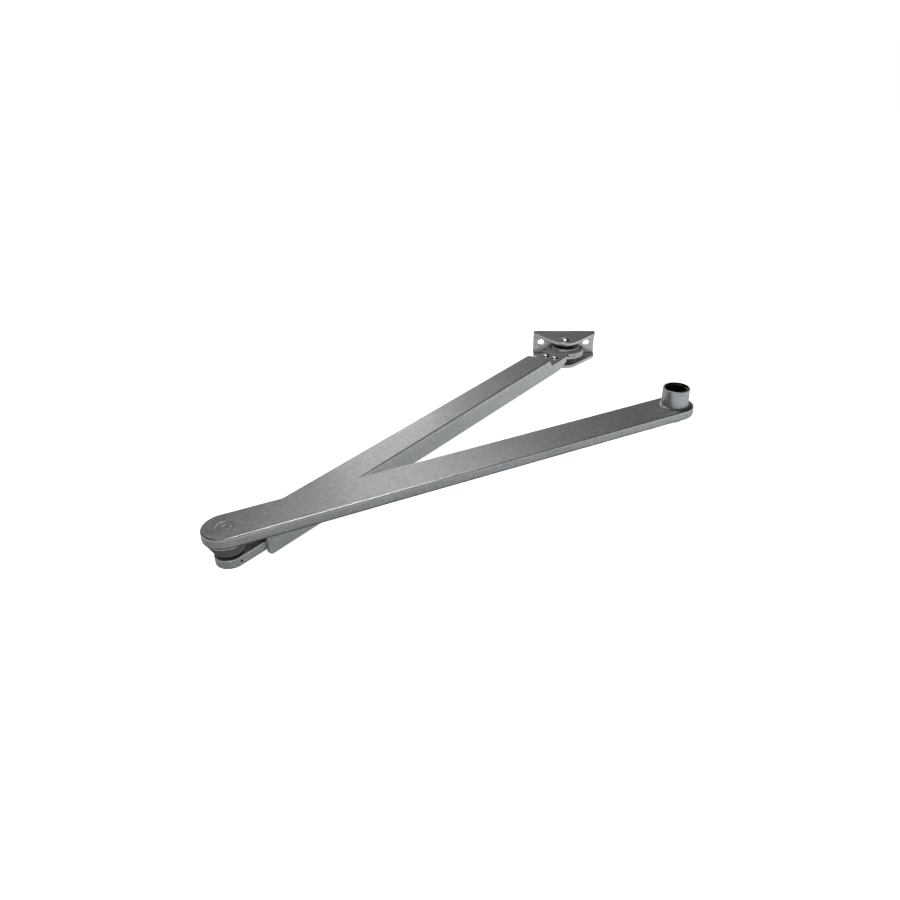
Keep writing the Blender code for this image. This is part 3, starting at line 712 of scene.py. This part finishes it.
def make_channel(paint):
    """The bent channel with its eye, as one sheet."""
    low, high = extent("forearm_channel", ELBOW)
    half = SHEET + extent("nut_plate", ELBOW)[1].y + CLAMP_PLATE_GAP
    skin = across(half, BEND, 6, lambda lowered: channel_side(low, high, lowered))
    inside = across(half - SHEET, INNER_BEND, 4, lambda lowered: inside_side(low, high, lowered))
    eye_bottom, eye_top = eye_level()
    outline = eye_outline(WALL_END - EYE_ROOT, half - 1.5 * BEND, WALL_END - REST_GAP, half)
    plate = loft([at_height(outline, eye_bottom), at_height(outline, eye_top)])
    holes = [(FOREARM_LENGTH, 0.0, EYE_BORE)]
    for node in ("eye_rivet_1", "eye_rivet_2"):
        centre = sum(extent(node, ELBOW), Vector()) / 2
        holes.append((centre.x, centre.y, RIVET_RADIUS))
    steps = [(inside, "DIFFERENCE"), (plate, "UNION")]
    ends = (eye_bottom - SHORT_OVERSHOOT, eye_top + SHORT_OVERSHOOT)
    for x, y, radius in holes:
        cutter = turned(x, y, [(radius, z) for z in ends], SMALL_ROUND)
        steps.append((cutter, "DIFFERENCE"))
    bm = worked(skin, steps, DEBURR)
    piece("channel_sheet", bm, ELBOW, "forearm", ["forearm_channel"], paint)


def make_eye_layer(paint):
    """The doubler under the eye: it has the same round end, and it reaches up to the sheet."""
    low, high = extent("eye_doubler", ELBOW)
    half = extent("nut_plate", ELBOW)[1].y
    angle = math.degrees(math.asin(half / EYE_RADIUS))
    outline = arc(FOREARM_LENGTH, 0, EYE_RADIUS, angle - 180, 180 - angle, 64)
    outline += [(low.x, half), (low.x, -half)]
    bm = loft([at_height(outline, low.z), at_height(outline, high.z + DOUBLER_REACH)])
    ends = (low.z - SHORT_OVERSHOOT, high.z + SHORT_OVERSHOOT)
    bore = turned(FOREARM_LENGTH, 0, [(EYE_BORE, z) for z in ends])
    bm = worked(bm, [(bore, "DIFFERENCE")], DEBURR)
    piece("eye_layer", bm, ELBOW, "forearm", ["eye_doubler"], paint)


def make_rivets(paint):
    """The two rivets through the sheet and the doubler, domed at both ends."""
    eye_top = eye_level()[1]
    under = extent("eye_doubler", ELBOW)[0].z
    for number in (1, 2):
        node = f"eye_rivet_{number}"
        low, high = extent(node, ELBOW)
        centre = (low + high) / 2
        radius = high.x - centre.x
        tail = upside_down(dome(radius, 0.0, under - low.z), under)
        profile = tail + [(RIVET_RADIUS, under), (RIVET_RADIUS, eye_top)]
        profile += dome(radius, eye_top, high.z - eye_top)
        bm = turned(centre.x, centre.y, profile, SMALL_ROUND)
        piece(f"eye_stud_{number}", bm, ELBOW, "forearm", [node], paint)


def make_clamp(steel, zinc):
    """The nut plate inside the channel, and the two screws that hold the slide to it."""
    low, high = extent("nut_plate", ELBOW)
    outline = [(low.x, low.y), (high.x, low.y), (high.x, high.y), (low.x, high.y)]
    plate = loft([at_height(outline, low.z), at_height(outline, high.z)])
    bm = worked(plate, [], CLAMP_PLATE_EDGE)
    piece("clamp_plate", bm, ELBOW, "forearm", ["nut_plate"], zinc)
    for number in (1, 2):
        node = f"clamp_washer_{number}"
        low, high = extent(node, ELBOW)
        x = (low.x + high.x) / 2
        bore = CLAMP_RADIUS + RING_GAP
        bm = ring(x, 0, bore, high.x - x, low.z, high.z, WASHER_EDGE)
        piece(f"clamp_ring_{number}", bm, ELBOW, "forearm", [node], steel)
        seat = low.z
        node = f"clamp_screw_{number}"
        low, high = extent(node, ELBOW)
        shank = turned(x, 0, [(CLAMP_RADIUS, seat - SINK), (CLAMP_RADIUS, high.z)])
        bm = joined([hex_head(x, 0, CLAMP_POINTS, low.z, seat - REST_GAP), shank])
        piece(f"clamp_bolt_{number}", bm, ELBOW, "forearm", [node], steel)


def shoe_profile(low, high, back):
    """The shoe's C seen from the side, as (y, z) on the pin's axis: outside, then inside."""
    centre_y = back - SHOE_BEND
    top_z = high - SHOE_BEND
    bottom_z = low + SHOE_BEND
    front = SHOE_NOSE_PLACE - SHOE_NOSE - OVERSHOOT
    inner = SHOE_BEND - SHOE_PLATE
    outline = [(front, low)]
    outline += arc(centre_y, bottom_z, SHOE_BEND, -90, 0, 12)
    outline += arc(centre_y, top_z, SHOE_BEND, 0, 90, 12)
    outline += [(front, high), (front, high - SHOE_PLATE)]
    outline += arc(centre_y, top_z, inner, 90, 0, 8)
    outline += arc(centre_y, bottom_z, inner, 0, -90, 8)
    outline.append((front, low + SHOE_PLATE))
    return outline


def shoe_plan(half, back):
    """The shoe from above: full width at the plate, then straight ear edges to a round nose."""
    depth = SHOE_EAR_START - SHOE_NOSE_PLACE
    bearing = math.degrees(math.atan2(depth, half))
    tangent = bearing - math.degrees(math.acos(SHOE_NOSE / math.hypot(half, depth)))
    outline = [(half, SHOE_EAR_START), (half, back + OVERSHOOT)]
    outline += [(-half, back + OVERSHOOT), (-half, SHOE_EAR_START)]
    outline += arc(0, SHOE_NOSE_PLACE, SHOE_NOSE, 180 - tangent, 360 + tangent, 40)
    return outline


def make_shoe(paint):
    """The shoe: a bent C cut to its plan, drilled for the pin, and then for the screws."""
    low, high = extent("shoe_bracket", SHOE)
    half = high.x
    ends = (-half - SHOE_OVERSHOOT, half + SHOE_OVERSHOOT)
    bm = loft([[(x, y, z) for y, z in shoe_profile(low.z, high.z, high.y)] for x in ends])
    outline = shoe_plan(half, high.y)
    heights = (low.z - OVERSHOOT, high.z + OVERSHOOT)
    plan = loft([at_height(outline, z) for z in heights])
    pin_hole = turned(0, 0, [(PIN_RADIUS + PIN_GAP, z) for z in heights])
    bm = worked(bm, [(plan, "INTERSECT"), (pin_hole, "DIFFERENCE")], SHOE_EDGE)
    steps = []
    through = (high.y - SHOE_PLATE - SHOE_OVERSHOOT, high.y + SHOE_OVERSHOOT)
    for side in (-1, 1):
        hole = circle(side * SHOE_HOLE_SPACING / 2, SHOE_HOLE_HEIGHT, SHOE_HOLE_RADIUS, 40)
        steps.append((loft([[(x, y, z) for x, z in hole] for y in through]), "DIFFERENCE"))
    bm = worked(bm, steps, SHOE_HOLE_EDGE)
    piece("shoe_plate", bm, SHOE, "shoe", ["shoe_bracket"], paint)


def make_pin(paint):
    """The shoe's pin, which is peened to a dome at both ends."""
    low, high = extent("shoe_pin", SHOE)
    shoe_low, shoe_high = extent("shoe_bracket", SHOE)
    head = dome(high.x, shoe_high.z, PIN_RISE)
    tail = upside_down(dome(high.x, 0.0, shoe_low.z - low.z), shoe_low.z)
    bm = turned(0, 0, [*tail, (PIN_RADIUS, shoe_low.z), (PIN_RADIUS, shoe_high.z), *head])
    piece("shoe_rivet", bm, SHOE, "shoe", ["shoe_pin"], paint)


def make_pin_rings(paint, dark, plated):
    """What is on the pin: a ring above the eye, a spacer below it, and the eye's own bush."""
    for name, node, edge in (
        ("shoe_thrust_disc", "shoe_thrust_ring", THRUST_DISC_EDGE),
        ("shoe_lower_disc", "shoe_lower_spacer", LOWER_DISC_EDGE),
    ):
        low, high = extent(node, SHOE)
        bm = ring(0, 0, PIN_RADIUS + RING_GAP, high.x, low.z, high.z, edge)
        piece(name, bm, SHOE, "shoe", [node], dark)
    low, high = extent("shoe_washer", ELBOW)
    bm = ring(FOREARM_LENGTH, 0, EYE_BORE, high.y, low.z, high.z, EYE_WASHER_EDGE)
    piece("eye_washer", bm, ELBOW, "forearm", ["shoe_washer"], paint)
    flange = high.z + REST_GAP
    low, high = extent("shoe_bushing", ELBOW)
    bore = PIN_RADIUS + PIN_GAP
    rim = high.y - EYE_BUSH_EDGE
    outline = [(bore, low.z), (EYE_BUSH_RADIUS, low.z), (EYE_BUSH_RADIUS, flange)]
    outline += arc(rim, flange + EYE_BUSH_EDGE, EYE_BUSH_EDGE, -90, 0, 5)
    outline += arc(rim, high.z - EYE_BUSH_EDGE, EYE_BUSH_EDGE, 0, 90, 5)
    outline.append((bore, high.z))
    bm = turned_ring(FOREARM_LENGTH, 0, outline)
    piece("eye_bush", bm, ELBOW, "forearm", ["shoe_bushing"], plated)


# ---- finishes ----


class Nodes:
    """Short calls for one material's node tree."""

    def __init__(self, name):
        self.material = bpy.data.materials.new(name)
        self.material.use_nodes = True
        self.tree = self.material.node_tree
        self.shader = self.tree.nodes["Principled BSDF"]
        self.place = self.add("ShaderNodeTexCoord").outputs["Object"]

    def add(self, kind, **inputs):
        """A new node, with _ in an input's name standing for a space."""
        node = self.tree.nodes.new(kind)
        for name, value in inputs.items():
            self.feed(node.inputs[name.replace("_", " ")], value)
        return node

    def feed(self, socket, value):
        """Links another node's output to socket, or sets it to a plain value."""
        if isinstance(value, bpy.types.NodeSocket):
            self.tree.links.new(value, socket)
        else:
            socket.default_value = value

    def noise(self, size, detail=2.0):
        """Soft noise from 0 to 1 whose patches are about size metres across."""
        node = self.add("ShaderNodeTexNoise", Vector=self.place, Scale=1 / size, Detail=detail)
        return node.outputs["Fac"]

    def flakes(self, size):
        """One random value for each grain of about size metres."""
        node = self.add("ShaderNodeTexVoronoi", Vector=self.place, Scale=1 / size)
        return self.add("ShaderNodeSeparateColor", Color=node.outputs["Color"]).outputs["Red"]

    def spread(self, value, low, high, start=0.3, stop=0.7):
        """value, from start to stop, stretched over low to high."""
        limits = {"From_Min": start, "From_Max": stop, "To_Min": low, "To_Max": high}
        return self.add("ShaderNodeMapRange", Value=value, **limits).outputs["Result"]

    def math(self, operation, first, second):
        node = self.add("ShaderNodeMath")
        node.operation = operation
        self.feed(node.inputs[0], first)
        self.feed(node.inputs[1], second)
        return node.outputs[0]

    def blend(self, factor, first, second, mode="MIX"):
        """Two colours mixed. A Mix node has its colour sockets at 6 and 7, and the result at 2."""
        node = self.add("ShaderNodeMix")
        node.data_type = "RGBA"
        node.blend_type = mode
        self.feed(node.inputs[0], factor)
        for place, colour in ((6, first), (7, second)):
            linked = isinstance(colour, bpy.types.NodeSocket)
            self.feed(node.inputs[place], colour if linked else (*colour, 1))
        return node.outputs[2]


def metal(name, dark, light, worn, metallic, rough, grain, sparkle, relief):
    """A metal surface: mottled colour with grains, worn edges, uneven gloss and fine relief."""
    nodes = Nodes(name)
    mottle = nodes.spread(nodes.noise(MOTTLE_SIZE, 4.0), 0.0, 1.0)
    colour = nodes.blend(mottle, dark, light)
    broad = nodes.spread(nodes.noise(TONE_SIZE, 2.0), 0.94, 1.05)
    flakes = nodes.flakes(grain)
    glitter = nodes.spread(flakes, 1 - sparkle, 1 + sparkle, 0.0, 1.0)
    colour = nodes.blend(1.0, colour, nodes.math("MULTIPLY", broad, glitter), "MULTIPLY")
    rub = nodes.add("ShaderNodeAttribute")
    rub.attribute_name = "wear"
    patchy = nodes.spread(nodes.noise(RUB_SIZE, 3.0), 0.0, 1.0, 0.42, 0.62)
    rubbed_and_highlight = nodes.math("MULTIPLY", rub.outputs["Fac"], patchy)
    colour = nodes.blend(nodes.math("MULTIPLY", rubbed_and_highlight, RUB_COLOUR), colour, worn)
    gloss = nodes.noise(GLOSS_SIZE, 3.0)
    gloss = nodes.spread(gloss, rough - GLOSS_SPREAD, rough + GLOSS_SPREAD)
    gloss = nodes.math("SUBTRACT", gloss, nodes.math("MULTIPLY", rubbed_and_highlight, RUB_POLISH))
    grains = nodes.math("MULTIPLY", flakes, GRAIN_HEIGHT)
    height = nodes.math("ADD", nodes.noise(grain * 4, 3.0), grains)
    bump = nodes.add("ShaderNodeBump", Height=height, Distance=relief, Strength=1.0)
    shader = nodes.shader
    shader.inputs["Metallic"].default_value = metallic
    nodes.feed(shader.inputs["Base Color"], colour)
    nodes.feed(shader.inputs["Roughness"], gloss)
    nodes.feed(shader.inputs["Normal"], bump.outputs["Normal"])
    return nodes.material


def make_finishes():
    """All metals by name: three colours, metallic, roughness, grain, sparkle and relief."""
    rows = {
        "silver_paint": (
            (0.365, 0.375, 0.385), (0.425, 0.43, 0.435), (0.60, 0.60, 0.60),
            0.85, 0.36, 0.0004, 0.26, 0.00002,
        ),
        # The same paint on small rivet and pin heads, glossier, and lighter in colour as a painted
        # highlight on their domes
        "glossy_paint_painted_highlight": (
            (0.46, 0.47, 0.48), (0.54, 0.54, 0.54), (0.66, 0.66, 0.66),
            0.95, 0.20, 0.0004, 0.08, 0.00001,
        ),
        "yellow_zinc": (
            (0.30, 0.27, 0.10), (0.55, 0.46, 0.20), (0.62, 0.60, 0.50),
            1.0, 0.30, 0.0005, 0.08, 0.000015,
        ),
        # Yellow zinc in the socket and the hub's bore, darkened to a near-black olive as painted
        # shade in the deep bore
        "zinc_painted_bore_shade": (
            (0.050, 0.050, 0.015), (0.170, 0.160, 0.065), (0.42, 0.40, 0.26),
            1.0, 0.22, 0.0005, 0.20, 0.000015,
        ),
        "zinc_steel": (
            (0.46, 0.48, 0.50), (0.60, 0.61, 0.61), (0.70, 0.70, 0.70),
            1.0, 0.28, 0.0005, 0.06, 0.00001,
        ),
        "dark_steel": (
            (0.018, 0.018, 0.019), (0.045, 0.045, 0.048), (0.20, 0.20, 0.20),
            0.7, 0.42, 0.0004, 0.10, 0.000015,
        ),
        "sintered_bronze": (
            (0.30, 0.22, 0.13), (0.46, 0.35, 0.22), (0.60, 0.48, 0.32),
            0.95, 0.42, 0.00025, 0.22, 0.00003,
        ),
        "plated_steel": (
            (0.44, 0.45, 0.45), (0.56, 0.56, 0.55), (0.66, 0.66, 0.65),
            1.0, 0.33, 0.0004, 0.07, 0.00001,
        ),
    }
    return {name: metal(f"{name}_finish", *row) for name, row in rows.items()}


# ---- stage, light and camera ----


def make_floor(level):
    """A wide, pale floor with a faint grain, and the same pale walls far around it.

    The camera sees them, but they don't light the object, and it has no reflection of them.
    """
    reach = FLOOR_REACH
    bm = bmesh.new()
    corners = [(-reach, -reach), (reach, -reach), (reach, reach), (-reach, reach)]
    foot = [bm.verts.new((x, y, level)) for x, y in corners]
    head = [bm.verts.new((x, y, level + 2 * reach)) for x, y in corners]
    bm.faces.new(foot)
    for i in range(4):
        bm.faces.new((foot[i - 1], foot[i], head[i], head[i - 1]))
    floor = object_of("studio_floor", bm)
    nodes = Nodes("pale_floor")
    grain = nodes.spread(nodes.noise(0.3), 0.0, 1.0)
    tone = nodes.blend(grain, (0.80, 0.80, 0.80), (0.82, 0.82, 0.82))
    nodes.feed(nodes.shader.inputs["Base Color"], tone)
    nodes.feed(nodes.shader.inputs["Roughness"], nodes.spread(nodes.noise(0.05), 0.75, 0.85))
    nodes.shader.inputs["Specular IOR Level"].default_value = 0.0
    nodes.shader.inputs["Emission Color"].default_value = (1.0, 1.0, 1.0, 1.0)
    nodes.shader.inputs["Emission Strength"].default_value = 1.0
    floor.data.materials.append(nodes.material)
    floor.visible_diffuse = False
    floor.visible_glossy = False
    floor.visible_shadow = False


def direction(azimuth, elevation):
    """A unit vector, from an azimuth from +Y towards +X and an elevation, both in degrees."""
    a = math.radians(azimuth)
    e = math.radians(elevation)
    return Vector((math.sin(a) * math.cos(e), math.cos(a) * math.cos(e), math.sin(e)))


def make_light(name, azimuth, elevation, distance, width, height, power):
    """A rectangular soft light that looks at the middle of the object."""
    centre = (cad_low + cad_high) / 2
    data = bpy.data.lights.new(name, "AREA")
    data.shape = "RECTANGLE"
    data.size = width
    data.size_y = height
    data.energy = power
    light = bpy.data.objects.new(name, data)
    towards = direction(azimuth, elevation)
    light.location = centre + towards * distance
    light.rotation_mode = "QUATERNION"
    light.rotation_quaternion = towards.to_track_quat("Z", "Y")
    bpy.context.scene.collection.objects.link(light)


def make_world():
    """Surroundings as bright as SKY says at each height, and brighter towards +X."""
    world = bpy.data.worlds.new("studio")
    bpy.context.scene.world = world
    world.use_nodes = True
    tree = world.node_tree
    place = tree.nodes.new("ShaderNodeTexCoord")
    split = tree.nodes.new("ShaderNodeSeparateXYZ")
    share = tree.nodes.new("ShaderNodeMapRange")
    share.inputs["From Min"].default_value = -1.0
    ramp = tree.nodes.new("ShaderNodeValToRGB")
    elements = ramp.color_ramp.elements
    for element in elements[1:]:
        elements.remove(element)
    for i, (height, level) in enumerate(SKY):
        position = (height + 1) / 2
        element = elements[0] if i == 0 else elements.new(position)
        element.position = position
        element.color = (level * SKY_RED, level, level, 1.0)
    tree.links.new(place.outputs["Generated"], split.inputs[0])
    tree.links.new(split.outputs["Z"], share.inputs["Value"])
    tree.links.new(share.outputs["Result"], ramp.inputs["Fac"])
    tree.links.new(ramp.outputs["Color"], tree.nodes["Background"].inputs["Color"])
    tilt = tree.nodes.new("ShaderNodeMath")
    tilt.operation = "MULTIPLY_ADD"
    tilt.inputs[1].default_value = SKY_TILT
    tilt.inputs[2].default_value = 1.0
    tree.links.new(split.outputs["X"], tilt.inputs[0])
    tree.links.new(tilt.outputs[0], tree.nodes["Background"].inputs["Strength"])


def make_camera():
    """The photo's camera, turned and rolled as it was solved from the photo."""
    forward = direction(math.degrees(CAMERA_AZIMUTH), -math.degrees(CAMERA_ELEVATION))
    level = Vector((math.cos(CAMERA_AZIMUTH), -math.sin(CAMERA_AZIMUTH), 0.0))
    down = forward.cross(level)
    right = level * math.cos(CAMERA_ROLL) + down * math.sin(CAMERA_ROLL)
    up = level * math.sin(CAMERA_ROLL) - down * math.cos(CAMERA_ROLL)
    turn = Matrix((right, up, -forward)).transposed()
    data = bpy.data.cameras.new("camera")
    data.lens = CAMERA_LENS
    data.sensor_width = SENSOR_WIDTH
    camera = bpy.data.objects.new("camera", data)
    camera.matrix_world = Matrix.Translation(CAMERA_PLACE) @ turn.to_4x4()
    bpy.context.scene.collection.objects.link(camera)
    bpy.context.scene.camera = camera


finishes = make_finishes()
paint = finishes["silver_paint"]
# Rivet and pin heads: a lighter copy of the paint, as a painted highlight on their domes
rubbed_and_highlight = finishes["glossy_paint_painted_highlight"]
# Zinc for the hub's socket and bore, darkened as painted shade in the deep bore
bore_zinc_painted_shade = finishes["zinc_painted_bore_shade"]
steel = finishes["zinc_steel"]
dark = finishes["dark_steel"]

make_arm(paint, bore_zinc_painted_shade)
make_socket(bore_zinc_painted_shade)
make_bolt(steel)
make_stud(paint)
make_elbow_rings(paint, dark, steel)
make_slide(paint, finishes["sintered_bronze"])
make_channel(paint)
make_eye_layer(paint)
make_rivets(rubbed_and_highlight)
make_clamp(steel, finishes["yellow_zinc"])
make_shoe(paint)
make_pin(rubbed_and_highlight)
make_pin_rings(paint, dark, finishes["plated_steel"])

make_floor(cad_low.z - FLOOR_GAP)
for light in LIGHTS:
    make_light(*light)
make_world()
make_camera()
bpy.context.scene.view_settings.view_transform = "Standard"
